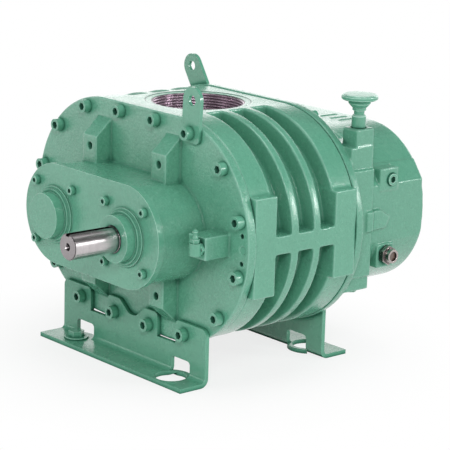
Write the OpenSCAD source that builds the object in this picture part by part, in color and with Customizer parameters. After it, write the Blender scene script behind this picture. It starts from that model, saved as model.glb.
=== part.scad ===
// Roots blower, a two-lobe rotary positive displacement blower on steel feet.
// Frame: Z up from the base plane, shafts along Y with the drive end at -Y,
// drive shaft on the +X side, origin under the middle of the whole blower. Millimetres.
// The drawings below count Y from the middle of the casing; dy moves them into the frame.

/* [Main sizes] */
// distance between the two shaft axes
centre_d = 127; // [120:1:134]
// height of the shaft axes over the base plane
shaft_h = 163; // [158:1:172]
// length of the casing between the two headplates
case_l = 146; // [130:1:180]
// thickness of the casing wall at the bottom of the fin grooves
wall_t = 9; // [7:0.5:12]
// height of the casing fins over the wall
rib_h = 19.5; // [17:0.5:22]
// radius of the two port openings
port_r = 52; // [46:0.5:53]
// length of the thread in the ports
port_l = 24; // [18:1:25]

/* [Drive end] */
// thickness of the drive end headplate
plate_t = 11; // [9:0.5:14]
// length of the bearing housing in front of the headplate
house_l = 57; // [52:1:70]
// thickness of the bearing housing wall
house_wall = 14.5; // [13:0.5:16]
// thickness of the drive end cover
cover_t = 7.7; // [6:0.1:12]
// height of the shaft boss on the cover
boss_h = 17.2; // [14:0.2:24]
// radius of the shaft boss on the cover
boss_r = 25.5; // [24:0.5:28]
// free length of the drive shaft in front of the boss
shaft_ext = 58.3; // [40:0.1:75]
// radius of the drive shaft extension
shaft_r = 14.2875; // [12:0.0125:15]

/* [Gear end] */
// thickness of the gear end headplate rim
rim_t = 10; // [9:0.5:14]
// depth of the gear end bearing body behind the rim
body_l = 33; // [32:0.5:40]
// length of the gear cover
gcover_l = 83.2; // [78:0.2:100]
// radius of the rounded rear edge of the gear cover
gcover_f = 5; // [3:0.5:8]

/* [Feet and lugs] */
// thickness of the foot angle
foot_t = 5; // [4:0.5:6]
// length of the feet across the blower
foot_w = 258; // [246:1:270]
// width left in the foot flange in front of the hold-down holes
foot_edge = 3; // [2.5:0.5:8]
// outer radius of the bend in the feet
bend_r = 10; // [7:0.5:10.5]
// radius of the hold-down holes
foot_hole_r = 18; // [14:0.5:18.5]
// distance of the hold-down holes from the ends of the feet
foot_end = 42; // [38:1:46]
// thickness of the lifting lug straps
lug_t = 4; // [3:0.5:6]
// width of the lifting lug straps
lug_w = 29; // [26:1:32]
// height of the lifting hole over the strap's screw
lug_h = 35; // [32:1:44]

/* [Fits] */
// running gap between the rotors and the casing bore
bore_gap = 0.25; // [0.2:0.05:0.4]
// gap taken off each rotor flank
flank_gap = 0.12; // [0.1:0.01:0.2]
// gap at each end of the rotors
end_gap = 0.25; // [0.2:0.05:0.5]
// radial running gap at the seal lips
lip_gap = 0.05; // [0.03:0.01:0.08]
// thickness of the cover gaskets
gasket_t = 0.8; // [0.5:0.1:1.5]
// sideways play of each tooth flank in the timing gears
tooth_play = 0.09; // [0.06:0.01:0.15]

/* [Hidden] */
a = centre_d / 2;
hl = case_l / 2;
// rotors, casing and headplates
rot_r = 1.5 * a;
bore_r = rot_r + bore_gap;
case_r = bore_r + wall_t + rib_h;
plate_r = case_r + 1;
pr = a + plate_r;
bolt_r = plate_r - 9.8;
// end bands, fins and grooves along the casing
band = 30;
rib_t = 10;
groove_w = (case_l - 2 * band - 2 * rib_t) / 3;
mid_x = 31;
// headplate screws: socket heads of 3/8 inch
hd_r = 7.15;
hd_h = 9.5;
hd_af = 7.9;
sk_r = 4.76;
sk_l = 30;
// cover screws: socket heads of 1/4 inch
ch_r = 4.76;
ch_h = 6.35;
ch_af = 4.76;
cs_r = 3.175;
cs_l = 22;
// axial stations
yf = -hl - plate_t;
yh = yf - house_l;
yc0 = yh - gasket_t;
yc1 = yc0 - cover_t;
yb = yc1 - boss_h;
yt = yb - shaft_ext;
rr = hl + rim_t;
rb = rr + body_l;
rc0 = rb + gasket_t;
rc1 = rc0 + gcover_l;
rot_hub = 22;
// bearings, 35 x 80 x 21
br_id = 17.5;
br_od = 40;
br_w = 21;
br_pr = 28.75;
br_ball = 6.7;
br_n = 8;
jr = 19;
yb1 = yh + 1;
yb2 = rb - br_w;
seal_or = 29;
seal_w = 10;
ys2 = yb2 - 1 - seal_w;
// radius of the drive shaft under its seal
js = shaft_r + 0.4;
house_r = br_od + house_wall;
cover_r = house_r + 2.5;
cover_pcd = br_od + 7;
// timing gears
gear_n = 40;
gear_m = 2 * a / gear_n;
gear_w = 30;
gear_y = rb + 5;
gear_hub = 16;
nut_w = 11;
// gear cover
gwall = 9;
gc_x = a + 13;
gc_z = 2.5;
gc_r = plate_r - 32.5;
gc_w = pr - 23.5;
gpcd = gc_r - 18.5;
// rotor outline points per arch
na = 36;
kf_d = 3.2;
kw = 6.35;
// shift from the casing middle to the middle of the whole length
dy = -(yt + rc1) / 2;
foot_hole_x = foot_w / 2 - foot_end;
// pitch radius of the clamp ring screws
clamp_r = br_od + 3.5;

// places of the sixteen headplate screws as [x, z]
function lobe_pts(s) = [for (t = [75, 45, 15, -15, -45, -75])
  [s * (a + bolt_r * cos(t)), bolt_r * sin(t)]];
lug_f = [a + bolt_r * cos(75), bolt_r * sin(75)];
lug_b = [-lug_f[0], lug_f[1]];
foot_pts = [[-lug_f[0], -lug_f[1]], [-mid_x, -bolt_r], [mid_x, -bolt_r], [lug_f[0], -lug_f[1]]];
all_pts = concat(lobe_pts(1), lobe_pts(-1), [for (s = [-1, 1], t = [-1, 1]) [s * mid_x, t * bolt_r]]);
function is_foot(p) = p[1] < 0 && abs(p[0]) < a + 50 && p[1] < -0.9 * bolt_r;
function near(p, q) = norm(p - q) < 1;
front_pts = [for (p = all_pts) if (!is_foot(p) && !near(p, lug_f)) p];
// the gear end body and its side block leave no room for these screws
function no_room(p) = p[0] > a + 60 || p[0] < -a - 100;
rear_pts = [for (p = all_pts) if (!is_foot(p) && !near(p, lug_b) && !no_room(p)) p];
rear_all = concat(rear_pts, [lug_b], foot_pts);
clamp_pts = [for (s = [-1, 1], t = [90, 210, 330]) [s * a + clamp_r * cos(t), clamp_r * sin(t)]];
cover_pts = [for (s = [-1, 1], t = [45, 135, 225, 315])
  [s * a + cover_pcd * cos(t), cover_pcd * sin(t)]];
gcover_pts = concat(
  [for (s = [-1, 1], t = [-50, 0, 50]) [s * (gc_x + gpcd * cos(t)), gc_z + gpcd * sin(t)]],
  [for (s = [-1, 1], t = [-1, 1]) [s * 20, gc_z + t * (gc_r - 14.5)]]);

// moves a part from the shaft axis frame onto the base plane
module up() { translate([0, dy, shaft_h]) children(); }
// prism along Y from y0 to y1 of a drawing in x and z
module ext(y0, y1) { translate([0, y1, 0]) rotate([90, 0, 0]) linear_extrude(y1 - y0) children(); }
// prism along X from x0 to x1 of a drawing in y and z
module extx(x0, x1) { translate([x0, 0, 0]) rotate([90, 0, 90]) linear_extrude(x1 - x0) children(); }
// round bar along Y
module cy(x, z, r, y0, y1, fn = 48) {
  translate([x, y1, z]) rotate([90, 0, 0]) cylinder(r = r, h = y1 - y0, $fn = fn);
}
// round bar along X
module cx(y, z, r, x0, x1, fn = 48) {
  translate([x0, y, z]) rotate([0, 90, 0]) cylinder(r = r, h = x1 - x0, $fn = fn);
}
// outline with two round lobes
module race(r) {
  for (s = [-1, 1]) translate([s * a, 0]) circle(r, $fn = 96);
  square([2 * a, 2 * r], center = true);
}
// solid ring of revolution about Y through x, drawn as [radius, y]
module rev(x, fn = 64) { translate([x, 0, 0]) rotate([-90, 0, 0]) rotate_extrude($fn = fn) children(); }
// box between two corners
module box(x0, x1, y0, y1, z0, z1) { translate([x0, y0, z0]) cube([x1 - x0, y1 - y0, z1 - z0]); }
// socket head screw along Y, head to the -Y side for s = 1
module shcs(x, z, y, s, hr, hh, af, r, l) {
  translate([x, y, z]) rotate([s * 90, 0, 0]) difference() {
    union() {
      cylinder(r = hr, h = hh, $fn = 32);
      translate([0, 0, -l]) cylinder(r = r, h = l + 1, $fn = 24);
    }
    translate([0, 0, hh - 0.55 * hh]) cylinder(r = af / 2 / cos(30), h = hh, $fn = 6);
  }
}

// casing
module casing() color([0.36, 0.60, 0.48]) up() difference() {
  union() {
    ext(-hl, hl) union() { race(bore_r + wall_t); square([2 * a + 4, 2 * case_r], center = true); }
    ext(-hl, -hl + band) race(case_r);
    ext(hl - band, hl) race(case_r);
    for (k = [0, 1]) translate([0, -hl + band + groove_w + k * (groove_w + rib_t), 0])
      ext(0, rib_t) race(case_r);
    for (s = [0, 1]) mirror([s, 0, 0]) {
      box(a + 80, pr - 2.5, -hl, -hl + band, -54.5, 54.5);
      box(a + 80, pr - 2.5, hl - band - 1, hl, -48.5, 48.5);
      box(a + 80, pr - 2.5, -hl + band - 1, hl - band, -10, 10);
    }
  }
  for (s = [-1, 1]) cy(s * a, 0, bore_r, -hl - 1, hl + 1, 128);
  for (s = [0, 1]) mirror([s, 0, 0]) box(pr - 2.5, pr + 9, -hl - 1, hl + 1, -60, 60);
  translate([0, 0, -case_r]) cylinder(r = port_r - 3, h = 2 * case_r, $fn = 96);
  for (t = [0, 1]) mirror([0, 0, t]) translate([0, 0, case_r - 0.8]) {
    cylinder(r = port_r + 7.5, h = 3, $fn = 96);
    translate([0, 0, -port_l]) cylinder(r = port_r, h = port_l + 1, $fn = 96);
    translate([0, 0, -port_l - 3]) cylinder(r1 = port_r - 3, r2 = port_r, h = 3, $fn = 96);
  }
  for (p = all_pts) cy(p[0], p[1], sk_r, -hl - 1, -hl + 21, 24);
  for (p = rear_all) cy(p[0], p[1], sk_r, hl - 21, hl + 1, 24);
  for (s = [-1, 1]) {
    cy(s * (a + bolt_r), 0, 4, -hl - 1, -hl + 12, 24);
    cy(s * (a + bolt_r), 0, 4, hl - 12, hl + 1, 24);
  }
}

// drive end headplate with its bearing housing
module drive_headplate() color([0.36, 0.60, 0.48]) up() difference() {
  union() {
    ext(yf, -hl) race(plate_r);
    ext(yh, yf + 1) race(house_r);
    for (s = [-1, 1], t = [0, 1]) mirror([0, 0, t]) extx(s * (a - 2) - 12.5, s * (a - 2) + 12.5)
      polygon([[yf + 1, 40], [yf + 1, plate_r - 21], [yf, plate_r - 21], [yf - 21, plate_r - 40],
        [yf - 21, 40]]);
    box(a + 66, pr - 31, yf - 33, yf + 1, -11, 13.5);
  }
  for (s = [-1, 1]) {
    cy(s * a, 0, br_od, yh - 1, yb1 + br_w, 64);
    cy(s * a, 0, seal_or, yb1 + br_w - 1, -hl - 7, 64);
    cy(s * a, 0, jr + 1, -hl - 8, -hl + 1, 64);
    cy(s * (a + bolt_r), 0, 4, yf - 1, -hl + 1, 24);
    for (z = [-15, 15]) cy(s * (a + bolt_r - 2), z, 2.6, yf - 1, -hl - 2, 24);
    for (t = [-1, 1]) cy(s * (a - 2), t * (plate_r - 52), 4.2, yf - 22, yf - 3, 24);
  }
  for (p = all_pts) cy(p[0], p[1], sk_r + 0.4, yf - 1, -hl + 1, 24);
  for (p = cover_pts) cy(p[0], p[1], cs_r, yh - 1, yh + cs_l - cover_t - gasket_t + 2, 24);
  cy(pr - 38.5, 1, 4.6, yf - 34, yf - 20, 24);
}

// gear end headplate with its bearing body
module gear_headplate() color([0.36, 0.60, 0.48]) up() difference() {
  union() {
    ext(hl, rr) race(plate_r);
    ext(rr - 1, rb) gc_out(2.5);
    box(a + 50, pr - 22.5, rr - 1, rb, 49 - plate_r, plate_r - 37);
    box(pr - 47, pr - 23.5, rr + 7, rb, 60, plate_r - 17.5);
    box(a + 75, pr - 20, rr - 1, rb, -60, 62);
    extx(pr - 60, pr - 17) polygon([[rb - 10.5, -9], [rb, -9], [rb, 14], [rb - 10.5, 14]]);
  }
  for (s = [-1, 1]) {
    cy(s * a, 0, br_od, yb2, rb + 1, 64);
    cy(s * a, 0, seal_or, ys2, yb2 + 1, 64);
    cy(s * a, 0, jr + 1, hl - 1, ys2 + 1, 64);
    cy(s * (a + bolt_r), 0, 4, hl - 1, rr + 1, 24);
  }
  for (p = rear_all) cy(p[0], p[1], sk_r + 0.4, hl - 1, rr + 1, 24);
  for (p = clamp_pts) cy(p[0], p[1], 2.5, rb - 12, rb + 1, 16);
  for (p = gcover_pts) cy(p[0], p[1], 4, rb - 16, rb + 1, 24);
  translate([bx, by, bz - 19.5]) cylinder(r = 6.5, h = 25, $fn = 32);
  translate([dx, by, 45 - plate_r]) cylinder(r = 6.5, h = 16, $fn = 32);
}

// cover over the two drive end bearings
module drive_end_cover() color([0.36, 0.60, 0.48]) up() difference() {
  union() {
    ext(yc1, yc0) race(cover_r);
    for (s = [-1, 1]) {
      cy(s * a, 0, boss_r + 6.5, yc1 - 2.5, yc1 + 1, 64);
      cy(s * a, 0, boss_r + 3.5, yc1 - 5.5, yc1 + 1, 64);
      cy(s * a, 0, boss_r, yb, yc1 + 1, 64);
      cy(s * a, 0, br_od - 0.05, yc0 - 1, yb1, 64);
    }
  }
  for (s = [-1, 1]) {
    cy(s * a, 0, 21, yb + 4, yb1 + 1, 64);
    cy(s * a, 0, 32, yc0 - 2, yb1 + 1, 64);
  }
  cy(a, 0, js + 0.5, yb - 1, yb + 5, 48);
  for (p = cover_pts) cy(p[0], p[1], cs_r + 0.3, yc1 - 1, yc0 + 1, 24);
}

// outline of the gear cover grown by e: two round lobes, flat sides with a bevel above them
module gc_out(e) intersection() {
  union() {
    for (s = [-1, 1]) translate([s * gc_x, gc_z]) circle(gc_r + e, $fn = 96);
    translate([0, gc_z]) square([2 * gc_x, 2 * gc_r + 2 * e], center = true);
    for (s = [0, 1]) mirror([s, 0]) polygon([[a + 40, -22], [gc_w + e, -22], [gc_w + e, 40.5],
      [gc_w + e - 15, 61.5], [a + 40, 61.5]]);
  }
  square([2 * gc_w + 2 * e, 4 * gc_r], center = true);
}
// inside of the gear cover, with a column left for each long screw
module gc_inside() difference() {
  translate([0, gc_z]) union() {
    for (s = [-1, 1]) translate([s * (gc_x - 5), 0]) circle(gc_r - gwall, $fn = 96);
    square([2 * gc_x - 10, 2 * (gc_r - gwall)], center = true);
  }
  for (p = gcover_pts) translate(p) circle(10.5, $fn = 32);
}
// half profile of the gear cover with its rounded rear edge, as [radius, y]
module gc_half(r, l, f) {
  square([r, l - f]);
  square([r - f, l]);
  translate([r - f, l - f]) circle(f, $fn = 48);
}
// places of the fill plug and the sight fitting as [y, z]
plug_p = [rc0 + 28.9, 46];
sight_p = [rc0 + 23.8, -39.7];
// gear cover
module gear_cover() color([0.36, 0.60, 0.48]) up() difference() {
  union() {
    intersection() {
      union() {
        for (s = [-1, 1]) translate([s * gc_x, rc0, gc_z]) rotate([-90, -s * 90, 0])
          rotate_extrude(angle = 180, $fn = 96) gc_half(gc_r, gcover_l, gcover_f);
        translate([0, 0, gc_z]) extx(-gc_x, gc_x) for (t = [0, 1]) mirror([0, t])
          translate([rc0, 0]) mirror([1, -1]) gc_half(gc_r, gcover_l, gcover_f);
      }
      box(-gc_w, gc_w, rc0 - 1, rc1 + 1, -2 * gc_r, 2 * gc_r);
    }
    for (s = [0, 1]) mirror([s, 0, 0]) ext(rc0, rc1 - 3)
      polygon([[a + 45, -22], [gc_w, -22], [gc_w, 40.5], [gc_w - 15, 61.5], [a + 45, 61.5]]);
    box(a + 60, px, rc0 + 10.7, rc0 + 39, 34, 59.5);
    box(a + 60, px, rc0 + 10.7, rc0 + 37, -54.5, -27.5);
    extx(pr - 60, px + 2.5) polygon([[rc0, -9], [rc0 + 20.5, -8], [rc0 + 27.6, 4], [rc0 + 10.5, 14], [rc0, 14]]);
    for (x = [31, 47, 62]) box(x, x + 3, rc0 + 44, rc0 + 68, gc_z + gc_r - 3, gc_z + gc_r + 1.2);
  }
  ext(rc0 - 1, rc1 - gwall) gc_inside();
  for (p = gcover_pts) {
    cy(p[0], p[1], 4.3, rc0 - 1, rc1 + 1, 24);
    cy(p[0], p[1], 6.6, rc1 - 9, rc1 + 1, 32);
  }
  cx(plug_p[0], plug_p[1], 6.7, px - 26, px + 1, 32);
  cx(sight_p[0], sight_p[1], 7.4, px - 26, px + 1, 32);
}

// gasket under the drive end cover
module drive_cover_gasket() color([0.12, 0.14, 0.13]) up() ext(yc0, yh) difference() {
  race(cover_r - 3);
  for (s = [-1, 1]) translate([s * a, 0]) circle(br_od, $fn = 64);
  for (p = cover_pts) translate(p) circle(cs_r + 0.3, $fn = 24);
}
// gasket under the gear cover
module gear_cover_gasket() color([0.12, 0.14, 0.13]) up() ext(rb, rc0) difference() {
  gc_out(0);
  gc_inside();
  for (p = gcover_pts) translate(p) circle(4.3, $fn = 24);
}

// rotor outline: lobe arches are epicycloids, waists are hypocycloids
rc = a / 4;
function epi(t) = let (k = (a + rc) / rc, c = [(a + rc) * cos(t) - rc * cos(k * t + 180),
  (a + rc) * sin(t) - rc * sin(k * t + 180)]) c;
function hyp(t) = let (k = (a - rc) / rc, u = t - 90, c = [(a - rc) * cos(u) - rc * cos(k * u),
  (a - rc) * sin(u) + rc * sin(k * u)]) [-c[1], c[0]];
lobe_a = [for (i = [-na : na - 1]) epi(45 * i / na)];
lobe_b = [for (i = [0 : 2 * na - 1]) hyp(45 + 90 * i / (2 * na))];
half_o = concat(lobe_a, lobe_b);
full_o = concat(half_o, -half_o);
function nrm(p, q) = let (d = q - p, n = norm(d)) [d[1] / n, -d[0] / n];
nf = len(full_o);
rot_o = [for (i = [0 : nf - 1])
  full_o[i] - flank_gap * nrm(full_o[(i + nf - 1) % nf], full_o[(i + 1) % nf])];
// two-lobe rotor turned by t about its shaft
module rotor(x, t) up() ext(-hl + end_gap, hl - end_gap) translate([x, 0]) rotate(t) difference() {
  polygon(rot_o);
  circle(rot_hub, $fn = 64);
}
module drive_rotor() color([0.45, 0.46, 0.47]) rotor(a, 0);
module driven_rotor() color([0.47, 0.48, 0.49]) rotor(-a, 90);

// stepped bars of revolution given as [radius, y0, y1]
module steps(x, v) { rev(x) for (s = v) translate([0, s[1]]) square([s[0], s[2] - s[1]]); }
module key_slot(x, r, y0, y1) { box(x - kw / 2, x + kw / 2, y0, y1, r - kf_d, r + 5); }
// drive shaft
module drive_shaft() color([0.70, 0.71, 0.72]) up() difference() {
  union() {
    steps(a, [[shaft_r - 0.8, yt, yt + 1], [shaft_r, yt + 0.8, yb - 1], [js, yb - 0.6, yc1 + 6],
      [16.5, yc1 + 5, yb1], [br_id, yb1, yb1 + br_w], [jr, yb1 + br_w, -hl + end_gap],
      [rot_hub, -hl + end_gap, hl - end_gap], [jr, hl - end_gap, yb2], [br_id, yb2, rb],
      [gear_hub, rb, gear_y + gear_w], [14, gear_y + gear_w, gear_y + gear_w + nut_w + 3]]);
    rev(a) polygon([[0, yb - 1.5], [shaft_r, yb - 1.5], [shaft_r, yb - 1], [js, yb - 0.6], [js, yb],
      [0, yb]]);
  }
  key_slot(a, shaft_r, yt - 1, yb - 3);
  key_slot(a, gear_hub, gear_y, gear_y + gear_w + 1);
  rev(a) polygon([[0, yt - 1], [4.3, yt - 1], [4.3, yt], [1.6, yt + 4.6], [1.6, yt + 8], [0, yt + 9]]);
}
// driven shaft
module driven_shaft() color([0.70, 0.71, 0.72]) up() difference() {
  steps(-a, [[16.5, yc1 + 4, yb1], [br_id, yb1, yb1 + br_w], [jr, yb1 + br_w, -hl + end_gap],
    [rot_hub, -hl + end_gap, hl - end_gap], [jr, hl - end_gap, yb2], [br_id, yb2, rb],
    [gear_hub, rb, gear_y + gear_w], [14, gear_y + gear_w, gear_y + gear_w + nut_w + 3]]);
  key_slot(-a, gear_hub, gear_y, gear_y + gear_w + 1);
}

// involute of the base circle at roll angle u in degrees
gb = a * cos(20);
function inv(u) = gb * [cos(u) + u * PI / 180 * sin(u), sin(u) - u * PI / 180 * cos(u)];
g_ra = a + gear_m;
g_rf = a - 1.25 * gear_m;
u_a = sqrt(pow(g_ra / gb, 2) - 1) * 180 / PI;
u_p = tan(20) * 180 / PI;
half_t = 90 / gear_n - tooth_play / a * 180 / PI;
inv_p = u_p - 20;
function rt(p, t) = [p[0] * cos(t) - p[1] * sin(t), p[0] * sin(t) + p[1] * cos(t)];
flank = [for (i = [0 : 5]) rt(inv(u_a * i / 5), -half_t - inv_p)];
root_p = rt([g_rf, 0], -half_t - inv_p);
function tooth(k) = concat([rt(root_p, k)], [for (p = flank) rt(p, k)],
  [for (i = [5 : -1 : 0]) rt([flank[i][0], -flank[i][1]], k)], [rt([root_p[0], -root_p[1]], k)]);
gear_o = [for (i = [0 : gear_n - 1], p = tooth(360 * i / gear_n)) p];
module gear(x, t) up() difference() {
  union() {
    ext(gear_y, gear_y + gear_w) translate([x, 0]) rotate(t) polygon(gear_o);
    cy(x, 0, gear_hub + 7, rb, gear_y + 1, 64);
  }
  cy(x, 0, gear_hub, rb - 1, gear_y + gear_w + 1, 48);
  box(x - kw / 2, x + kw / 2, gear_y, gear_y + gear_w + 1, 0, gear_hub + kf_d);
}
module drive_gear() color([0.55, 0.55, 0.56]) gear(a, 0);
module driven_gear() color([0.57, 0.57, 0.58]) gear(-a, 180 / gear_n);
module gear_key(x) up()
  box(x - kw / 2, x + kw / 2, gear_y, gear_y + gear_w, gear_hub - kf_d, gear_hub + kf_d);
module drive_gear_key() color([0.5, 0.5, 0.5]) gear_key(a);
module driven_gear_key() color([0.5, 0.5, 0.5]) gear_key(-a);
module gear_nut(x) up() difference() {
  cy(x, 0, 23, gear_y + gear_w, gear_y + gear_w + nut_w, 48);
  cy(x, 0, 14, gear_y + gear_w - 1, gear_y + gear_w + nut_w + 1, 48);
  for (t = [45 : 90 : 315]) translate([x, 0, 0]) rotate([0, t, 0])
    box(20, 25, gear_y + gear_w - 1, gear_y + gear_w + nut_w + 1, -3, 3);
}
module drive_gear_nut() color([0.4, 0.4, 0.42]) gear_nut(a);
module driven_gear_nut() color([0.4, 0.4, 0.42]) gear_nut(-a);

// ball bearing pieces, y is the front face
module race_out(x, y) up() rev(x) difference() {
  translate([br_od - 6.6, y]) square([6.6, br_w]);
  translate([br_pr, y + br_w / 2]) circle(br_ball + 0.05, $fn = 48);
}
module race_in(x, y) up() rev(x) difference() {
  translate([br_id, y]) square([6.6, br_w]);
  translate([br_pr, y + br_w / 2]) circle(br_ball + 0.05, $fn = 48);
}
module balls(x, y) up() translate([x, y + br_w / 2, 0]) {
  for (i = [0 : br_n - 1]) rotate([0, 360 * i / br_n, 0]) translate([br_pr, 0, 0])
    sphere(r = br_ball, $fn = 32);
  for (s = [-1, 1]) rotate([90, 0, 0]) rotate_extrude($fn = 64)
    translate([br_pr - 1.2, s * (br_ball + 1) - 0.7]) square([2.4, 1.4]);
  for (i = [0.5 : br_n - 0.5]) rotate([0, 360 * i / br_n, 0])
    translate([br_pr - 1, -br_ball - 1, -1.5]) cube([2, 2 * br_ball + 2, 3]);
}
steel = [0.72, 0.73, 0.75];
module drive_front_outer_race() color(steel) race_out(a, yb1);
module driven_front_outer_race() color(steel) race_out(-a, yb1);
module drive_rear_outer_race() color(steel) race_out(a, yb2);
module driven_rear_outer_race() color(steel) race_out(-a, yb2);
module drive_front_inner_race() color(steel) race_in(a, yb1);
module driven_front_inner_race() color(steel) race_in(-a, yb1);
module drive_rear_inner_race() color(steel) race_in(a, yb2);
module driven_rear_inner_race() color(steel) race_in(-a, yb2);
module drive_front_balls() color([0.8, 0.7, 0.4]) balls(a, yb1);
module driven_front_balls() color([0.8, 0.7, 0.4]) balls(-a, yb1);
module drive_rear_balls() color([0.8, 0.7, 0.4]) balls(a, yb2);
module driven_rear_balls() color([0.8, 0.7, 0.4]) balls(-a, yb2);

// lip seal ring from radius ri to ro
module seal(x, ri, ro, y0, y1) rev(x) difference() {
  translate([ri, y0]) square([ro - ri, y1 - y0]);
  translate([ri + 2.2, y0 - 1]) square([ro - ri - 5.2, (y1 - y0) * 0.6 + 1]);
}
module drive_shaft_seal() color([0.06, 0.06, 0.06]) up() rev(a) difference() {
  translate([js + lip_gap, yb + 4]) square([21 - js - lip_gap, 8]);
  translate([js + 2.1, yb + 8]) square([2, 5]);
}
module front_oil_seals() color([0.07, 0.07, 0.07]) up() for (s = [-1, 1])
  seal(s * a, jr + lip_gap, seal_or, -hl - 7 - seal_w, -hl - 7);
module rear_oil_seals() color([0.07, 0.07, 0.07]) up() for (s = [-1, 1])
  seal(s * a, jr + lip_gap, seal_or, ys2, ys2 + seal_w);

// rings that hold the outer races of the two gear end bearings
module bearing_clamp_rings() color([0.42, 0.43, 0.44]) up() for (s = [-1, 1]) difference() {
  cy(s * a, 0, clamp_r + 4, rb, rb + 3, 64);
  cy(s * a, 0, br_od - 5.5, rb - 1, rb + 4, 64);
  for (p = clamp_pts) cy(p[0], p[1], 2.6, rb - 1, rb + 4, 16);
}
module clamp_ring_screws() color([0.3, 0.3, 0.31]) up() for (p = clamp_pts) {
  cy(p[0], p[1], 4, rb + 3, rb + 4.6, 6);
  cy(p[0], p[1], 2.5, rb - 10, rb + 3.5, 16);
}

// screws
module drive_headplate_screws() color([0.36, 0.60, 0.48]) up() {
  for (p = front_pts) shcs(p[0], p[1], yf, 1, hd_r, hd_h, hd_af, sk_r, sk_l);
  shcs(lug_f[0], lug_f[1], yf - lug_t, 1, hd_r, hd_h, hd_af, sk_r, sk_l);
}
module gear_headplate_screws() color([0.36, 0.60, 0.48]) up() {
  for (p = rear_pts) shcs(p[0], p[1], rr, -1, hd_r, hd_h, hd_af, sk_r, sk_l);
  shcs(lug_b[0], lug_b[1], rr + lug_t, -1, hd_r, hd_h, hd_af, sk_r, sk_l);
}
module front_foot_screws() color([0.36, 0.60, 0.48]) up()
  for (p = foot_pts) shcs(p[0], p[1], yf - foot_t, 1, hd_r, hd_h, hd_af, sk_r, sk_l);
module rear_foot_screws() color([0.36, 0.60, 0.48]) up()
  for (p = foot_pts) shcs(p[0], p[1], rr + foot_t, -1, hd_r, hd_h, hd_af, sk_r, sk_l);
module drive_cover_screws() color([0.36, 0.60, 0.48]) up()
  for (p = cover_pts) shcs(p[0], p[1], yc1, 1, ch_r, ch_h, ch_af, cs_r, cs_l);
module gear_cover_screws() color([0.36, 0.60, 0.48]) up()
  for (p = gcover_pts) shcs(p[0], p[1], rc1 - 9, -1, 6, 7.9, 6.35, 4, gcover_l + 6);
module front_dowels() color([0.36, 0.60, 0.48]) up()
  for (s = [-1, 1]) cy(s * (a + bolt_r), 0, 4, yf + 0.5, -hl + 12, 24);
module rear_dowels() color([0.36, 0.60, 0.48]) up()
  for (s = [-1, 1]) cy(s * (a + bolt_r), 0, 4, hl - 12, rr - 0.5, 24);

// foot angle, drawn for the drive end; y0 is the headplate face
foot_top = shaft_h - bolt_r * sin(75) + 12.8;
foot_hy = foot_hole_r;
foot_reach = foot_hy + foot_hole_r + foot_edge;
win_h = 0.595 * (shaft_h - plate_r - 0.5);
module foot_angle(y0) difference() {
  extx(-foot_w / 2, foot_w / 2) difference() {
    union() {
      translate([y0 - foot_t, 0]) square([foot_t, foot_top]);
      translate([y0 - foot_reach, 0]) square([foot_reach, foot_t]);
      difference() {
        translate([y0 - bend_r, 0]) square(bend_r);
        translate([y0 - bend_r, bend_r]) circle(bend_r - foot_t, $fn = 48);
      }
    }
    difference() {
      translate([y0 - bend_r, -1]) square(bend_r + 1);
      translate([y0 - bend_r, bend_r]) circle(bend_r, $fn = 64);
      translate([y0 - bend_r - 1, bend_r]) square(bend_r + 3);
    }
  }
  for (s = [0, 1]) mirror([s, 0, 0]) {
    translate([foot_hole_x, y0 - foot_hy, -1]) cylinder(r = foot_hole_r, h = foot_t + 1, $fn = 64);
    ext(y0 - bend_r - 1, y0 + 1) translate([foot_hole_x, 0]) union() {
      translate([-16.25, foot_t]) square([32.5, win_h - 4.3 - foot_t]);
      translate([-12.25, foot_t + 1]) square([24.5, win_h - foot_t - 1]);
      for (t = [-1, 1]) translate([t * 12.25, win_h - 4.3]) circle(4.02, $fn = 32);
    }
    translate([foot_w / 2, y0, foot_top]) ext(-foot_t - 1, 1) difference() {
      translate([-7, -7]) square([8, 8]);
      translate([-7, -7]) circle(7, $fn = 32);
    }
    ext(y0 - foot_t - 1, y0 + 1) translate([a - 2, 0]) union() {
      translate([-16, shaft_h - plate_r - 0.5]) square([32, 40]);
      for (t = [-1, 1]) difference() {
        translate([t * 18.5 - 2.51, foot_top - 5]) square([5.02, 6]);
        translate([t * 21, foot_top - 5]) circle(5, $fn = 32);
      }
    }
  }
  ext(y0 - foot_t - 1, y0 + 1)
    polygon([[-26, foot_top + 1], [-22, foot_top - 1], [-8, foot_top - 12], [-4, foot_top - 13.5],
      [4, foot_top - 13.5], [8, foot_top - 12], [22, foot_top - 1], [26, foot_top + 1]]);
  for (p = foot_pts) cy(p[0], p[1] + shaft_h, sk_r + 0.4, y0 - foot_t - 1, y0 + 1, 24);
}
module front_foot() color([0.36, 0.60, 0.48]) translate([0, dy, 0]) foot_angle(yf);
module rear_foot() color([0.36, 0.60, 0.48]) translate([0, dy, 0]) mirror([0, 1, 0]) foot_angle(-rr);

// lifting lug strap about its screw, leaning by t, hung on face y to y + w
module lug(p, t, y0, y1) up() translate([p[0], 0, p[1]]) rotate([0, t, 0]) ext(y0, y1) difference() {
  union() {
    translate([-lug_w / 2, -6]) square([lug_w, lug_h + 6]);
    translate([-lug_w / 2 + 5, -10.5]) square([lug_w - 10, 6]);
    for (s = [-1, 1]) translate([s * (lug_w / 2 - 5), -5.5]) circle(5, $fn = 32);
    translate([0, lug_h]) circle(lug_w / 2, $fn = 48);
  }
  circle(sk_r + 0.4, $fn = 24);
  translate([0, lug_h]) circle(5.75, $fn = 32);
}
module front_lug() color([0.36, 0.60, 0.48]) lug(lug_f, 3, yf - lug_t, yf);
module rear_lug() color([0.36, 0.60, 0.48]) lug(lug_b, -33, rr, rr + lug_t);

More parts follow.
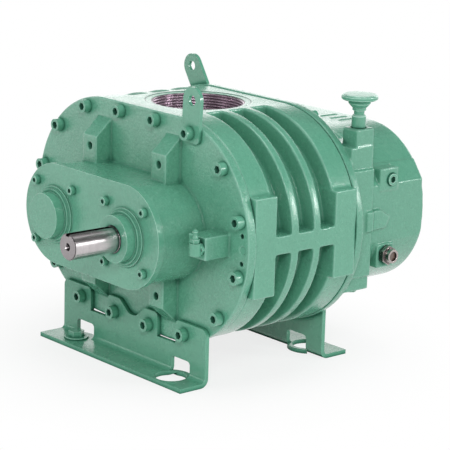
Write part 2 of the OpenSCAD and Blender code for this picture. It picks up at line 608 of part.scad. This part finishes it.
// bolt, washer and locating bushing in the left front hold-down hole
module hd_at() translate([-foot_hole_x, dy + yf - foot_hy, 0]) children();
module hold_down_bushing() color([0.36, 0.60, 0.48]) hd_at() difference() {
  cylinder(r = foot_hole_r - 0.05, h = foot_t, $fn = 64);
  translate([0, 0, -1]) cylinder(r = 6.6, h = foot_t + 2, $fn = 32);
}
module hold_down_washer() color([0.36, 0.60, 0.48]) hd_at() difference() {
  translate([0, 0, foot_t]) cylinder(r = 13.6, h = 2.2, $fn = 48);
  translate([0, 0, foot_t - 1]) cylinder(r = 6.6, h = 5, $fn = 32);
}
module hold_down_bolt() color([0.36, 0.60, 0.48]) hd_at() {
  translate([0, 0, foot_t + 2.2]) cylinder(r = 8 / cos(30), h = 6.8, $fn = 6);
  cylinder(r = 6, h = foot_t + 3, $fn = 32);
}

// breather on the tower of the gear end headplate
bx = pr - 35.5;
by = rr + 20;
bz = plate_r - 17.5;
dx = pr - 39;
module rz(x, y, z) { translate([x, y, z]) rotate_extrude($fn = 48) children(); }
module breather_pipe() color([0.36, 0.60, 0.48]) up() rz(bx, by, bz)
  polygon([[0, -14], [6.5, -14], [6.5, 0], [8, 0], [8, 13], [7, 14], [5.8, 14], [5.8, 19],
    [7.6, 19], [7.6, 22.5], [0, 22.5]]);
module breather_cap() color([0.40, 0.64, 0.52]) up() rz(bx, by, bz + 22.5)
  polygon([[0, 0], [8.2, 0], [12.2, 4.2], [12.6, 7.6], [18.6, 8.4], [20.3, 9.6], [20.3, 12.6],
    [19.2, 13.8], [17.8, 14], [17.6, 14.6], [0, 15.6]]);

// oil plugs, sight fitting and grease fitting
px = gc_w + 1.5;
module oil_fill_plug() color([0.36, 0.60, 0.48]) up() difference() {
  cx(plug_p[0], plug_p[1], 6.7, px - 12, px + 2.5, 32);
  translate([px - 1.5, plug_p[0], plug_p[1]]) rotate([0, 90, 0]) cylinder(r = 3.9, h = 8, $fn = 6);
}
module oil_sight_fitting() color([0.62, 0.60, 0.57]) up() difference() {
  union() {
    cx(sight_p[0], sight_p[1], 7.4, px - 12, px + 1, 32);
    cx(sight_p[0], sight_p[1], 11.3, px, px + 6.5, 6);
    cx(sight_p[0], sight_p[1], 7.8, px + 6, px + 13, 32);
  }
  cx(sight_p[0], sight_p[1], 5.3, px - 13, px + 15, 32);
}
module oil_sight_glass() color([0.25, 0.2, 0.12]) up()
  cx(sight_p[0], sight_p[1], 5.3, px + 7.5, px + 10.5, 32);
module oil_drain_plug() color([0.5, 0.49, 0.48]) up() translate([dx, by, 45 - plate_r]) {
  cylinder(r = 9, h = 4, $fn = 6);
  cylinder(r = 6.5, h = 14, $fn = 32);
}
gx = pr - 38.5;
gy = yf - 33;
module grease_elbow() color([0.36, 0.60, 0.48]) up() {
  cy(gx, 1, 4.6, gy - 5, gy + 10, 32);
  translate([gx, gy, 1]) rotate([90, 0, 0]) cylinder(r = 7.2, h = 4, $fn = 6);
  translate([gx, gy - 7.5, -5]) cylinder(r = 6.4, h = 13, $fn = 32);
}
module grease_nipple() color([0.40, 0.62, 0.52]) up() translate([gx, gy - 7.5, 8]) {
  cylinder(r = 5, h = 4, $fn = 6);
  rotate_extrude($fn = 32) polygon([[0, 3], [3.3, 3], [3.3, 6], [2.2, 9], [2.2, 10], [3.1, 11.5],
    [3.1, 12.5], [1.6, 14.5], [0, 14.5]]);
}

casing();
drive_headplate();
gear_headplate();
drive_end_cover();
gear_cover();
drive_cover_gasket();
gear_cover_gasket();
drive_rotor();
driven_rotor();
drive_shaft();
driven_shaft();
drive_gear();
driven_gear();
drive_gear_key();
driven_gear_key();
drive_gear_nut();
driven_gear_nut();
bearing_clamp_rings();
clamp_ring_screws();
drive_front_outer_race();
driven_front_outer_race();
drive_rear_outer_race();
driven_rear_outer_race();
drive_front_inner_race();
driven_front_inner_race();
drive_rear_inner_race();
driven_rear_inner_race();
drive_front_balls();
driven_front_balls();
drive_rear_balls();
driven_rear_balls();
drive_shaft_seal();
front_oil_seals();
rear_oil_seals();
drive_headplate_screws();
gear_headplate_screws();
front_foot_screws();
rear_foot_screws();
drive_cover_screws();
gear_cover_screws();
front_dowels();
rear_dowels();
front_foot();
rear_foot();
front_lug();
rear_lug();
hold_down_bolt();
hold_down_washer();
hold_down_bushing();
breather_pipe();
breather_cap();
oil_fill_plug();
oil_sight_fitting();
oil_sight_glass();
oil_drain_plug();
grease_elbow();
grease_nipple();
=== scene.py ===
import math

import bmesh
import bpy
from mathutils import Matrix, Vector


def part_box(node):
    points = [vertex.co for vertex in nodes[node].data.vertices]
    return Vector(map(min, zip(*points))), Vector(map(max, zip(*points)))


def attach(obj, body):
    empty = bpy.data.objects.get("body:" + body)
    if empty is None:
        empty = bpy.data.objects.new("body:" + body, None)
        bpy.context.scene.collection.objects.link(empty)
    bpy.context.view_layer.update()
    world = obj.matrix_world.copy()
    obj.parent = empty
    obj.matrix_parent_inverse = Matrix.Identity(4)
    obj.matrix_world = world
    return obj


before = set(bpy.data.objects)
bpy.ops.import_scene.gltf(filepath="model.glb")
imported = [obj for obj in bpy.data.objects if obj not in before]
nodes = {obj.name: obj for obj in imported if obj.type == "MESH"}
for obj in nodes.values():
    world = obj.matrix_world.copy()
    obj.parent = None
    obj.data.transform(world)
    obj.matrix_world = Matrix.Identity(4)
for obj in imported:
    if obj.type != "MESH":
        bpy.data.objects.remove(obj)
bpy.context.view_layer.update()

STATIC = "blower_body"
MM = 0.001


def middle(node):
    """Centre of a CAD node's box."""
    low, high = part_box(node)
    return (low + high) / 2


# places read from the frame
SHAFT = middle("drive_gear_nut")            # a point on the drive shaft's axis
HALF_C = SHAFT.x                            # half the distance of the shafts
AXIS_Z = SHAFT.z
CASE = middle("casing")
CASE_LOW, CASE_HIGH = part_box("casing")

# sizes of the part that no box gives
PORT_R = 52 * MM
RING_R = PORT_R + 7.5 * MM                  # groove round a port
BORE_R = HALF_C * 1.5 + 0.25 * MM           # bore of a rotor
FOOT_T = 5 * MM                             # sheet of the feet
HOLD_X = 87 * MM                            # hold-down holes, off the middle
HOLD_R = 18 * MM

# colours
GREEN = (0.118, 0.370, 0.250)
GREEN_DARK = (0.070, 0.270, 0.172)
GREEN_LIGHT = (0.270, 0.550, 0.430)
# painted shade: the enamel green made darker for the gear end
GREEN_SHADED_GEAR_END = (0.110, 0.350, 0.236)
# painted highlight: a pale green for bevelled edges
GREEN_EDGE_HIGHLIGHT = (0.44, 0.72, 0.60)
# painted shade: the green of creases, hollows and corners
GREEN_IN_SHADE = (0.040, 0.170, 0.110)
# painted shade: near black for the tightest corners and the port grooves
DARKEST_SHADE = (0.010, 0.045, 0.030)
IRON = (0.20, 0.15, 0.17)
SHADE = (0.03, 0.025, 0.028)

# noise patterns, in cycles a metre
CLOUD, STAIN, POLISH, PEEL, MOTTLE = 9.0, 45.0, 60.0, 85.0, 150.0
RUST, MATTE, FIBRE, SKIN, SPECK, NAP, MARKS = 140.0, 200.0, 300.0, 380.0, 520.0, 800.0, 900.0

# how deep the bumps are and how far a corner's shade reaches
SKIN_DEEP = 0.9 * MM
PEEL_DEEP = 1.0 * MM
MARKS_DEEP = 0.08 * MM
NAP_DEEP = 0.2 * MM
CORNER = 8 * MM
METAL_CORNER = 7 * MM
PAINT_GAP = 0.9 * MM                        # bare metal reaches this far past a bore


def tint(colour, factor):
    return tuple(c * factor for c in colour)


class Nodes:
    """A short way to write shader nodes."""

    def __init__(self, tree):
        self.tree = tree

    def add(self, kind, **inputs):
        n = self.tree.nodes.new(kind)
        for key, value in inputs.items():
            self.put(n.inputs[key.replace("_", " ")], value)
        return n

    def put(self, socket, value):
        if isinstance(value, bpy.types.NodeSocket):
            self.tree.links.new(value, socket)
        else:
            socket.default_value = value

    def math(self, op, a, b=0.0):
        n = self.tree.nodes.new("ShaderNodeMath")
        n.operation = op
        self.put(n.inputs[0], a)
        self.put(n.inputs[1], b)
        return n.outputs[0]

    def ramp(self, value, low, high, to_low=0.0, to_high=1.0):
        """value taken from low..high to to_low..to_high, and held at the ends."""
        n = self.add("ShaderNodeMapRange", Value=value)
        for key, v in (("From Min", low), ("From Max", high), ("To Min", to_low), ("To Max", to_high)):
            self.put(n.inputs[key], v)
        return n.outputs[0]

    def mix(self, fac, a, b):
        n = self.tree.nodes.new("ShaderNodeMix")
        n.data_type = "RGBA"
        self.put(n.inputs["Factor"], fac)
        for name, value in (("A", a), ("B", b)):
            socket = next(s for s in n.inputs if s.name == name and s.type == "RGBA")
            self.put(socket, value if isinstance(value, bpy.types.NodeSocket) else (*value, 1.0))
        return next(o for o in n.outputs if o.type == "RGBA")

    def xyz(self, vector):
        return self.add("ShaderNodeSeparateXYZ", Vector=vector).outputs

    def length(self, a, b):
        """Length of the flat vector (a, b)."""
        return self.math("SQRT", self.math("ADD", self.math("MULTIPLY", a, a), self.math("MULTIPLY", b, b)))


class Surface(Nodes):
    """A material with its Principled shader, in the coordinates of the part."""

    def __init__(self, name):
        self.mat = bpy.data.materials.new(name)
        self.mat.use_nodes = True
        super().__init__(self.mat.node_tree)
        self.bsdf = self.tree.nodes["Principled BSDF"]
        self.where = self.add("ShaderNodeTexCoord").outputs["Object"]

    def noise(self, scale, detail=3.0, rough=0.55):
        n = self.add("ShaderNodeTexNoise", Vector=self.where, Scale=scale, Detail=detail, Roughness=rough)
        return n.outputs["Fac"]

    def bump(self, height, strength, distance, below=None):
        n = self.add("ShaderNodeBump", Height=height, Strength=strength, Distance=distance)
        if below is not None:
            self.put(n.inputs["Normal"], below)
        return n.outputs["Normal"]

    def hidden(self, reach):
        """How much a place is shut in by what is nearer than reach, from 0 to 1."""
        n = self.add("ShaderNodeAmbientOcclusion", Distance=reach)
        n.samples = 8
        return self.math("SUBTRACT", 1.0, n.outputs["AO"])

    def off_port_axis(self):
        """Distance from the upright axis of the ports."""
        x, y, _ = self.xyz(self.where)
        return self.length(x, self.math("SUBTRACT", y, CASE.y))

    def set(self, **inputs):
        for key, value in inputs.items():
            self.put(self.bsdf.inputs[key.replace("_", " ")], value)


def enamel(name, grain, peel, case=False, edge_highlight_and_crease_shade=0.8, base=GREEN, deep=14 * MM, coat=0.6):
    """Glossy machine enamel. grain is the depth of the casting's skin under it, peel that of the paint,
    edge_highlight_and_crease_shade how strongly edges get a painted highlight and creases painted shade, deep
    the reach of the painted shade in hollows.
    case leaves the casing's machined places bare and paints a dark line as the shade of the groove round its
    ports."""
    g = Surface(name)
    colour = g.mix(g.ramp(g.noise(CLOUD, 2.0), 0.35, 0.65), base, tint(base, 1.07))
    colour = g.mix(g.ramp(g.noise(MOTTLE), 0.5, 0.8, 0.0, 0.3), colour, GREEN_DARK)
    speck = g.noise(SPECK, 2.0, 0.6)
    colour = g.mix(g.ramp(speck, 0.54, 0.72, 0.0, 0.6 * grain), colour, GREEN_DARK)
    colour = g.mix(g.ramp(speck, 0.46, 0.30, 0.0, 0.6 * grain), colour, GREEN_LIGHT)
    # painted highlight on convex edges and painted shade in concave creases, found by the mesh's pointiness
    if edge_highlight_and_crease_shade:
        edge = g.add("ShaderNodeNewGeometry").outputs["Pointiness"]
        colour = g.mix(g.ramp(edge, 0.51, 0.56, 0.0, edge_highlight_and_crease_shade), colour, GREEN_LIGHT)
        colour = g.mix(g.ramp(edge, 0.495, 0.455, 0.0, edge_highlight_and_crease_shade), colour, GREEN_IN_SHADE)
    # painted shade in hollows within reach deep, and in tight corners within CORNER, the tightest near black
    colour = g.mix(g.ramp(g.hidden(deep), 0.40, 0.85, 0.0, 0.75), colour, GREEN_IN_SHADE)
    shut = g.hidden(CORNER)
    colour = g.mix(g.ramp(shut, 0.24, 0.46, 0.0, 0.85), colour, GREEN_IN_SHADE)
    colour = g.mix(g.ramp(shut, 0.50, 0.80, 0.0, 0.85), colour, DARKEST_SHADE)
    rough = g.ramp(g.noise(POLISH), 0.3, 0.7, 0.20, 0.32)
    skin = g.bump(g.noise(SKIN, 4.0, 0.6), grain, SKIN_DEEP)
    skin = g.bump(g.noise(PEEL, 2.0), peel, PEEL_DEEP, skin)
    if case:
        bare = bare_places(g)
        # painted shade: the groove round each port is drawn as a dark line
        line = port_groove(g)
        iron = g.mix(g.ramp(g.noise(RUST, 4.0), 0.35, 0.7), IRON, tint(IRON, 1.7))
        colour = g.mix(bare, g.mix(line, colour, DARKEST_SHADE), iron)
        shut = g.math("MAXIMUM", shut, g.math("MULTIPLY", line, 0.3))
        rough = g.math("ADD", rough, g.math("MULTIPLY", bare, 0.1))
        g.set(Metallic=bare)
    g.set(Base_Color=colour, Roughness=rough, Normal=skin, Coat_Normal=skin, Coat_Roughness=0.06,
          Coat_Weight=g.ramp(shut, 0.10, 0.30, coat, 0.0), IOR=1.45,
          Specular_IOR_Level=g.ramp(shut, 0.10, 0.30, 0.5, 0.0))
    return g.mat


def port_groove(g):
    """Painted shade: a dark line where the groove round each port lies."""
    off = g.math("ABSOLUTE", g.math("SUBTRACT", g.off_port_axis(), RING_R))
    return g.ramp(off, 0.75 * MM, 0.35 * MM, 0.0, 0.9)


def bare_places(g):
    """1 on the two bores and in the ports, which carry no paint."""
    x, _, z = g.xyz(g.where)
    dz = g.math("SUBTRACT", z, AXIS_Z)
    out = g.math("LESS_THAN", g.off_port_axis(), PORT_R + PAINT_GAP)
    for side in (-1, 1):
        r = g.length(g.math("SUBTRACT", x, side * HALF_C), dz)
        out = g.math("MAXIMUM", out, g.math("LESS_THAN", r, BORE_R + PAINT_GAP))
    return out


def metal(name, colour, rough, brushed=(1, 1, 1), bump=0.15, shade_from=0.15, roots=False):
    """Bare metal. brushed is the stretch of its turning marks along X, Y and Z, shade_from says from where on
    hollows get painted shade, and roots paints shade in the roots of a port's thread. Faces square to Y get
    painted shade."""
    g = Surface(name)
    off = g.off_port_axis() if roots else None
    stretch = g.add("ShaderNodeMapping", Vector=g.where)
    stretch.inputs["Scale"].default_value = brushed
    g.where = stretch.outputs[0]
    marks = g.noise(MARKS)
    colour = g.mix(g.ramp(g.noise(STAIN), 0.4, 0.75), colour, tint(colour, 0.86))
    # painted shade: faces square to Y, such as a shaft's end face, are darkened
    across = g.math("ABSOLUTE", g.xyz(g.add("ShaderNodeNewGeometry").outputs["Normal"])["Y"])
    colour = g.mix(g.ramp(across, 0.85, 0.98, 0.0, 0.45), colour, SHADE)
    # painted shade in the roots of a port's thread
    if roots:
        colour = g.mix(g.ramp(off, PORT_R - 1.0 * MM, PORT_R - 0.4 * MM, 0.0, 0.78), colour, SHADE)
    # painted shade: hollows within METAL_CORNER darken towards SHADE
    g.set(Base_Color=g.mix(g.ramp(g.hidden(METAL_CORNER), shade_from, 2.6 * shade_from, 0.0, 0.95), colour, SHADE),
          Roughness=g.ramp(marks, 0.3, 0.7, rough * 0.8, rough * 1.25),
          Normal=g.bump(marks, bump, MARKS_DEEP), Metallic=1.0)
    return g.mat


def dull(name, colour, rough, grain):
    """Rubber, gasket sheet and the like."""
    g = Surface(name)
    g.set(Base_Color=g.mix(g.noise(FIBRE), colour, tint(colour, 1.6)),
          Roughness=g.ramp(g.noise(MATTE), 0.3, 0.7, rough - 0.08, rough + 0.08),
          Normal=g.bump(g.noise(NAP), grain, NAP_DEEP))
    return g.mat


def glass(name, colour):
    g = Surface(name)
    g.set(Base_Color=g.mix(g.noise(POLISH, 1.0), colour, tint(colour, 1.3)),
          Roughness=0.06, Coat_Weight=0.6)
    return g.mat


CAST = enamel("enamel_on_casting", 0.6, 0.14)
# the gear end gets a darker green as painted shade, and weaker painted edge highlights
CAST_REAR = enamel("enamel_on_gear_end", 0.35, 0.14, edge_highlight_and_crease_shade=0.3, base=GREEN_SHADED_GEAR_END)
CAST_CASE = enamel("enamel_on_casing", 0.34, 0.14, case=True, deep=26 * MM)
SHEET = enamel("enamel_on_sheet", 0.14, 0.14, edge_highlight_and_crease_shade=0)
SMALL = enamel("enamel_on_fittings", 0.14, 0.16, edge_highlight_and_crease_shade=0, deep=7 * MM)
MATT = enamel("enamel_on_feet", 0.14, 0.14, edge_highlight_and_crease_shade=0, coat=0.25)
COVER = enamel("enamel_on_cover", 0.35, 0.14, edge_highlight_and_crease_shade=0)
# painted highlight on the bevels of sheets, covers and fittings
EDGE_HIGHLIGHT = enamel("enamel_painted_edge_highlight", 0.14, 0.14, edge_highlight_and_crease_shade=0, base=GREEN_EDGE_HIGHLIGHT)
STEEL = metal("ground_steel", (0.60, 0.56, 0.57), 0.24, brushed=(1, 12, 1), bump=0.1, shade_from=0.12)
PLATED = metal("turned_fitting", (0.46, 0.42, 0.40), 0.24)
ROTOR = metal("machined_iron", (0.30, 0.24, 0.27), 0.38)
THREAD = metal("cut_thread", (0.70, 0.57, 0.66), 0.27, bump=0.04, shade_from=0.38, roots=True)
RUBBER = dull("seal_rubber", (0.02, 0.02, 0.02), 0.55, 0.2)
GASKET = dull("gasket_sheet", (0.05, 0.08, 0.065), 0.7, 0.3)
SIGHT = glass("sight_window", (0.12, 0.08, 0.06))

SCREWS = ["drive_headplate_screws", "gear_headplate_screws", "front_foot_screws", "rear_foot_screws",
          "drive_cover_screws", "gear_cover_screws"]
DRESS = {
    CAST_CASE: ["casing"],
    CAST: ["drive_headplate"],
    CAST_REAR: ["gear_headplate", "gear_cover"],
    COVER: ["drive_end_cover"],
    MATT: ["front_foot", "rear_foot", "hold_down_washer", "hold_down_bushing", "breather_cap"],
    SHEET: ["front_lug", "rear_lug"],
    SMALL: SCREWS + ["front_dowels", "rear_dowels", "hold_down_bolt", "breather_pipe", "oil_fill_plug",
                     "oil_drain_plug", "grease_elbow", "grease_nipple"],
    PLATED: ["oil_sight_fitting"],
    ROTOR: ["drive_rotor", "driven_rotor"],
    RUBBER: ["drive_shaft_seal", "front_oil_seals", "rear_oil_seals"],
    GASKET: ["drive_cover_gasket", "gear_cover_gasket"],
    SIGHT: ["oil_sight_glass"],
}
finish_of = {n: mat for mat, names in DRESS.items() for n in names}
for n in nodes:
    slots = nodes[n].data.materials
    slots.clear()
    slots.append(finish_of.get(n, STEEL))
# the bevels of these pieces get the lighter edge enamel, a painted highlight
for mat in (MATT, SHEET, SMALL, COVER):
    for n in DRESS[mat]:
        nodes[n].data.materials.append(EDGE_HIGHLIGHT)    # break_edges gives the bevels a piece's last slot


# soft edges on the frame's pieces
WELD_GAP = 1e-5
FLAT = math.radians(0.5)                    # flatter than this, faces become one
SHARP = math.radians(32)                    # sharper than this, an edge gets its bevel
RIM_SHARP = math.radians(40)
COARSE = 1.0
FEWER = 1


def modifier(obj, kind, **settings):
    m = obj.modifiers.new(kind.lower(), kind)
    for key, value in settings.items():
        setattr(m, key, value)


def smooth_faces(obj):
    obj.data.polygons.foreach_set("use_smooth", [True] * len(obj.data.polygons))


def soften(node, voxel, rounds):
    """Rounds a casting's edges and fills its corners, as the moulded piece has them."""
    obj = nodes[node]
    modifier(obj, "WELD", merge_threshold=WELD_GAP)
    modifier(obj, "REMESH", mode="VOXEL", voxel_size=voxel * COARSE, use_smooth_shade=True)
    modifier(obj, "SMOOTH", factor=0.5, iterations=max(2, round(rounds / FEWER)))


def break_edges(names, width, segments=2):
    """Takes the sharp edge off sheets, bars or screws."""
    for node in names:
        obj = nodes[node]
        smooth_faces(obj)
        modifier(obj, "WELD", merge_threshold=WELD_GAP)
        modifier(obj, "DECIMATE", decimate_type="DISSOLVE", angle_limit=FLAT)
        modifier(obj, "BEVEL", width=width, segments=segments, limit_method="ANGLE", angle_limit=SHARP,
                 harden_normals=True, material=len(obj.data.materials) - 1)
        modifier(obj, "WEIGHTED_NORMAL", keep_sharp=True, weight=80)


soften("casing", 1.2 * MM, 7)
soften("drive_headplate", 1.0 * MM, 4)
soften("gear_headplate", 1.1 * MM, 7)
soften("gear_cover", 1.1 * MM, 9)
break_edges(["drive_end_cover"], 1.3 * MM, segments=3)
break_edges(["front_foot", "rear_foot", "front_lug", "rear_lug"], 0.8 * MM)
break_edges(SCREWS, 0.7 * MM)
break_edges(["hold_down_bolt", "hold_down_washer", "oil_fill_plug", "oil_drain_plug", "grease_elbow",
             "grease_nipple", "oil_sight_fitting"], 0.5 * MM)
break_edges(["breather_pipe", "breather_cap"], 0.6 * MM)
break_edges(["drive_shaft", "driven_shaft"], 0.3 * MM)


# pieces built here
def new_piece(name, verts, faces, material):
    """A mesh on the standing body, with the given finish in its one material slot."""
    mesh = bpy.data.meshes.new(name)
    mesh.from_pydata(verts, [], faces)
    bm = bmesh.new()
    bm.from_mesh(mesh)
    bmesh.ops.remove_doubles(bm, verts=bm.verts, dist=1e-6)
    bmesh.ops.recalc_face_normals(bm, faces=bm.faces)
    bm.to_mesh(mesh)
    bm.free()
    obj = bpy.data.objects.new(name, mesh)
    bpy.context.scene.collection.objects.link(obj)
    mesh.materials.append(material)
    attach(obj, STATIC)
    return obj


RIM = 5.4 * MM                              # width of a rim
RIM_END = 16 * MM                           # its ends, off the hole's middle, lie in the upright sheet
RIM_STEPS = 28
RIM_GAP = 0.02 * MM                         # keeps a rim clear of the hole's wall
RIM_INSET = 0.03 * MM                       # keeps it clear of the sheet's faces


def hole_rims(name, face, way):
    """Rounded tabs of a foot's flange that close its two hold-down holes behind the upright sheet.
    face is the sheet's mating face, way the side of the tabs."""
    verts, faces = [], []
    for side in (-1, 1):
        first = len(verts)
        for r in (HOLD_R + RIM_GAP, HOLD_R + RIM):
            half = math.acos(RIM_END / r)
            for i in range(RIM_STEPS + 1):
                t = half * (2 * i / RIM_STEPS - 1)
                x = side * HOLD_X + r * math.sin(t)
                y = face + way * (r * math.cos(t) - HOLD_R)
                verts += [(x, y, RIM_INSET), (x, y, FOOT_T - RIM_INSET)]
        outer = first + 2 * (RIM_STEPS + 1)
        for i in range(RIM_STEPS):
            a, b = first + 2 * i, outer + 2 * i
            faces += [(a, a + 2, b + 2, b), (a + 1, b + 1, b + 3, a + 3),
                      (a, a + 1, a + 3, a + 2), (b, b + 2, b + 3, b + 1)]
        a, b = first + 2 * RIM_STEPS, outer + 2 * RIM_STEPS
        faces += [(first, outer, outer + 1, first + 1), (a, a + 1, b + 1, b)]
    obj = new_piece(name, verts, faces, MATT)
    modifier(obj, "BEVEL", width=0.6 * MM, segments=2, limit_method="ANGLE", angle_limit=RIM_SHARP)


PITCH, TURNS = 3.175 * MM, 7.0
TURN_STEPS = 12             # rows of points along a turn
AROUND = 96
THREAD_IN = 1.6 * MM                        # start of the thread under the port's face
THREAD_H = 1.5 * MM
ROOT_GAP = 0.15 * MM                        # keeps the roots clear of the bore
SLEEVE = 0.6 * MM                           # the thread's back lies this deep in the wall
FLANK, ROOT_FLAT = 1.25, 0.12               # steepness of the flanks, and what the flat roots cut off


def port_thread(name, top):
    """Helical pipe thread on the wall of a port. top is +1 or -1."""
    rows = int(TURNS * TURN_STEPS)
    start = (CASE_HIGH.z if top > 0 else CASE_LOW.z) - top * THREAD_IN
    drop = top * PITCH / TURN_STEPS
    circle = [(math.cos(2 * math.pi * j / AROUND), math.sin(2 * math.pi * j / AROUND)) for j in range(AROUND)]
    verts, faces = [], []
    for i in range(rows + 1):
        for j, (c, s) in enumerate(circle):
            phase = (i / TURN_STEPS + j / AROUND) % 1.0
            crest = 1.0 - abs(2.0 * phase - 1.0)
            r = PORT_R - ROOT_GAP - THREAD_H * max(0.0, min(1.0, FLANK * crest - ROOT_FLAT))
            verts.append((CASE.x + r * c, CASE.y + r * s, start - i * drop))
    for row in (0, rows):
        for c, s in circle:
            r = PORT_R + SLEEVE
            verts.append((CASE.x + r * c, CASE.y + r * s, start - row * drop))
    for i in range(rows):
        for j in range(AROUND):
            k = (j + 1) % AROUND
            faces.append((i * AROUND + j, i * AROUND + k, (i + 1) * AROUND + k, (i + 1) * AROUND + j))
    first, last = (rows + 1) * AROUND, (rows + 2) * AROUND
    for j in range(AROUND):
        k = (j + 1) % AROUND
        faces.append((j, first + j, first + k, k))
        faces.append((rows * AROUND + j, rows * AROUND + k, last + k, last + j))
        faces.append((first + j, last + j, last + k, first + k))
    smooth_faces(new_piece(name, verts, faces, THREAD))


hole_rims("front_foot_rims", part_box("front_foot")[1].y, 1)
hole_rims("rear_foot_rims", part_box("rear_foot")[0].y, -1)
port_thread("inlet_thread", 1)
port_thread("discharge_thread", -1)


# stage, light and camera
FLOOR_HALF = 9.0
FLOOR_UNDER = 0.2 * MM                      # keeps the floor just under the feet
FLOOR_TONE = (0.95, 0.95, 0.95)
FLOOR_LIFT = 0.8                            # share of plain white under the object
LIFT_NEAR, LIFT_FAR = 0.14, 0.32            # the share rises to all of it between these distances


def pale_floor():
    """Pale ground that shows as near white to the camera and in reflections, and keeps its shadow."""
    g = Surface("pale_floor")
    diffuse = g.add("ShaderNodeBsdfDiffuse", Color=(*FLOOR_TONE, 1.0))
    glow = g.add("ShaderNodeEmission", Strength=1.0)
    path = g.add("ShaderNodeLightPath").outputs
    seen = g.math("MAXIMUM", path["Is Camera Ray"], path["Is Glossy Ray"])
    away = g.add("ShaderNodeVectorMath")
    away.operation = "LENGTH"
    g.put(away.inputs[0], g.where)
    white = g.ramp(away.outputs["Value"], LIFT_NEAR, LIFT_FAR, FLOOR_LIFT, 1.0)
    mixer = g.tree.nodes.new("ShaderNodeMixShader")
    g.put(mixer.inputs[0], g.math("MULTIPLY", seen, white))
    g.put(mixer.inputs[1], diffuse.outputs[0])
    g.put(mixer.inputs[2], glow.outputs[0])
    g.put(g.tree.nodes["Material Output"].inputs["Surface"], mixer.outputs[0])
    return g.mat


floor_mesh = bpy.data.meshes.new("floor")
corners = [(x * FLOOR_HALF, y * FLOOR_HALF, 0) for x, y in ((-1, -1), (1, -1), (1, 1), (-1, 1))]
floor_mesh.from_pydata(corners, [], [(0, 1, 2, 3)])
floor = bpy.data.objects.new("floor", floor_mesh)
bpy.context.scene.collection.objects.link(floor)
floor_mesh.materials.append(pale_floor())
floor.location.z = -FLOOR_UNDER

# the studio: even light all round, and in reflections white walls under a dark ceiling
FILL = 0.35
CEILING = 0.12
WALL_TOP, CEILING_FROM = 0.30, 0.52         # upward part of a ray's direction

world = bpy.data.worlds.new("studio")
bpy.context.scene.world = world
world.use_nodes = True
w = Nodes(world.node_tree)
path = w.add("ShaderNodeLightPath").outputs
upward = w.xyz(w.add("ShaderNodeTexCoord").outputs["Generated"])["Z"]
walls = w.ramp(upward, WALL_TOP, CEILING_FROM, 1.0, CEILING)
plain = w.math("MAXIMUM", path["Is Camera Ray"], path["Is Transmission Ray"])
soft = w.ramp(path["Is Glossy Ray"], 0.0, 1.0, FILL, walls)
backdrop = w.tree.nodes["Background"].inputs
backdrop["Color"].default_value = (1.0, 1.0, 1.0, 1.0)
w.put(backdrop["Strength"], w.ramp(plain, 0.0, 1.0, soft, 1.0))

TARGET = Vector((0.04854, 0.0157, 0.15207))     # what the camera and the lamps look at

# each softbox with its place, its width and height, and its power in watts
SOFTBOXES = (
    ("key_right", (1.55, -1.35, 1.35), (0.5, 0.5), 17),
    ("side_spark", (2.24, 0.46, 0.93), (0.25, 0.25), 3),
    ("front_spark", (-0.1, -2.3, 0.34), (0.14, 0.14), 1.6),
    ("front_left", (-0.7, -2.0, 1.1), (0.8, 0.8), 3.5),
    ("top", (0.2, 0.2, 2.1), (1.2, 1.2), 12),
    ("rim_right", (1.66, 1.42, 0.74), (0.25, 0.45), 10),
    ("back", (-0.5, 2.3, 1.0), (0.9, 0.7), 4),
    ("low_left", (-1.5, -1.35, 0.32), (0.7, 0.55), 2.2),
    ("back_left", (-1.7, 1.6, 0.62), (1.6, 0.9), 3.4),
)
for name, place, size, power in SOFTBOXES:
    lamp = bpy.data.lights.new(name, "AREA")
    lamp.shape = "RECTANGLE"
    lamp.size, lamp.size_y = size
    lamp.energy = power
    obj = bpy.data.objects.new(name, lamp)
    bpy.context.scene.collection.objects.link(obj)
    obj.location = place
    obj.rotation_euler = (TARGET - Vector(place)).to_track_quat("-Z", "Y").to_euler()

# the camera that was fitted to the photograph, in degrees, pixels and metres
AZ, EL, ROLL = map(math.radians, (49.201, 13.793, 1.614))
FOCAL_PX, DIST, IMAGE = 1927.0, 2.16147, 450
SENSOR = 36.0                               # millimetres
back_v = Vector((math.sin(AZ) * math.cos(EL), -math.cos(AZ) * math.cos(EL), math.sin(EL)))
right = Vector((math.cos(AZ), math.sin(AZ), 0))
up = back_v.cross(right)
right_r = right * math.cos(ROLL) + up * math.sin(ROLL)
up_r = up * math.cos(ROLL) - right * math.sin(ROLL)
camera = bpy.data.cameras.new("camera")
camera.sensor_fit = "HORIZONTAL"
camera.sensor_width = SENSOR
camera.lens = FOCAL_PX / IMAGE * SENSOR
camera.clip_start, camera.clip_end = 0.05, 50.0
cam = bpy.data.objects.new("camera", camera)
bpy.context.scene.collection.objects.link(cam)
cam.matrix_world = Matrix((right_r, up_r, back_v)).transposed().to_4x4()
cam.location = TARGET + back_v * DIST
bpy.context.scene.camera = cam
bpy.context.scene.view_settings.view_transform = "Standard"

bpy.context.view_layer.update()
